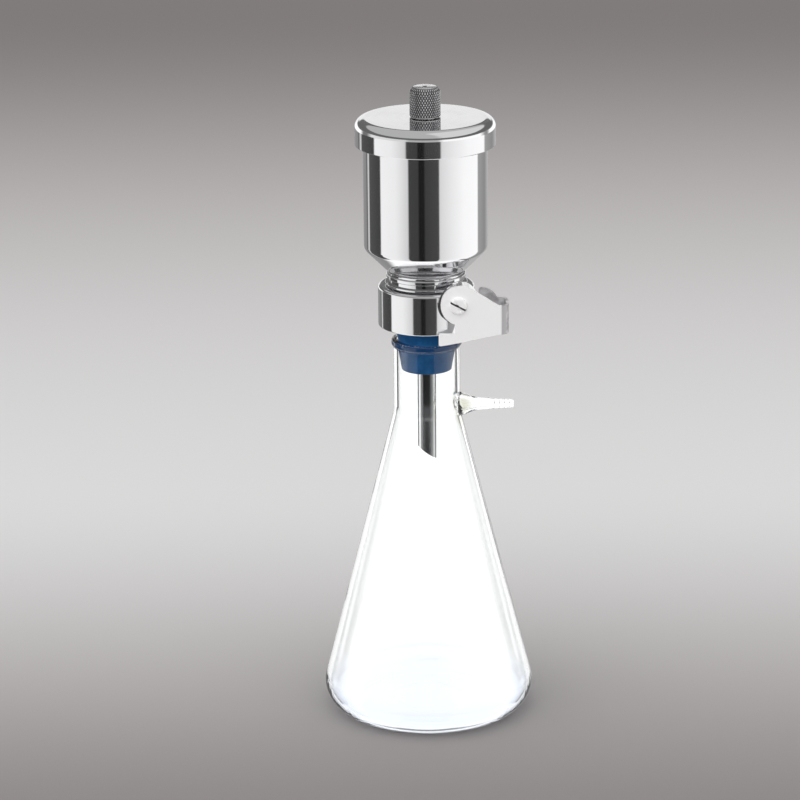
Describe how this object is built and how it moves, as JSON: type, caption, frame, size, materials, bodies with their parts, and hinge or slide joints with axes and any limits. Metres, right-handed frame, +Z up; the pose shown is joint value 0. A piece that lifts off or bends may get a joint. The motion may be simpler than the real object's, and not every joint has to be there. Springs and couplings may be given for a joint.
{
  "type": "vacuum filtration unit",
  "caption": "Stainless filter holder with lidded funnel and quick-release clamp lever, on a rubber stopper in a conical glass filter flask with a side hose nozzle.",
  "frame": {"origin": "centre of the flask's base, on the surface it stands on", "axes": "+Z up along the flask and funnel, +X towards the hose nozzle and the clamp lever, -Y the side the lever's plate faces"},
  "size_m": [0.166, 0.166, 0.506],
  "materials": {
    "clear_glass": "clear borosilicate glass, fire-polished",
    "blue_rubber": "moulded blue silicone rubber, satin",
    "polished_steel": "mirror-polished stainless steel",
    "polished_sheet": "polished stainless sheet, slightly softer gloss",
    "knurled_steel": "diamond-knurled stainless steel",
    "spring_steel": "plain spring steel",
    "sintered_steel": "porous sintered stainless steel",
    "white_seal": "white silicone",
    "dark_seal": "black rubber O-ring",
    "bush_plastic": "natural plain-bearing plastic",
    "filter_felt": "white filter felt"
  },
  "bodies": {
    "unit": {"filter_flask": "clear_glass", "rubber_stopper": "blue_rubber", "base_housing": "polished_steel", "outlet_tube": "polished_steel", "frit_gasket": "white_seal", "filter_frit": "sintered_steel", "funnel": "polished_steel", "funnel_o_ring": "dark_seal", "funnel_lid": "polished_steel", "lid_gasket": "white_seal", "vent_stud": "polished_steel", "stud_gasket": "white_seal", "stud_nut": "polished_steel", "vent_filter": "filter_felt", "pivot_boss": "polished_steel", "front_bush": "bush_plastic", "rear_bush": "bush_plastic"},
    "clamp": {"locking_shaft": "polished_steel", "clamp_lever": "polished_sheet", "lever_screw": "polished_steel", "shaft_clip": "spring_steel"},
    "knob_ring": {"knob_o_ring": "dark_seal"},
    "knob": {"vent_knob": "knurled_steel"}
  },
  "joints": [
    {"name": "clamp_turn", "type": "hinge", "parent": "unit", "child": "clamp", "pos_m": [0.0245, 0, 0.343], "axis": [0, -1, 0], "range_deg": [0, 45]},
    {"name": "knob_lift", "type": "slide", "parent": "unit", "child": "knob_ring", "axis": [0, 0, 1], "range_m": [0, 0.006]},
    {"name": "knob_turn", "type": "hinge", "parent": "knob_ring", "child": "knob", "pos_m": [0, 0, 0.49], "axis": [0, 0, 1], "range_deg": [0, 1440]}
  ],
  "couplings": [
    {"joint": "knob_turn", "follows": "knob_lift", "rad_per_m": 4188.8}
  ]
}
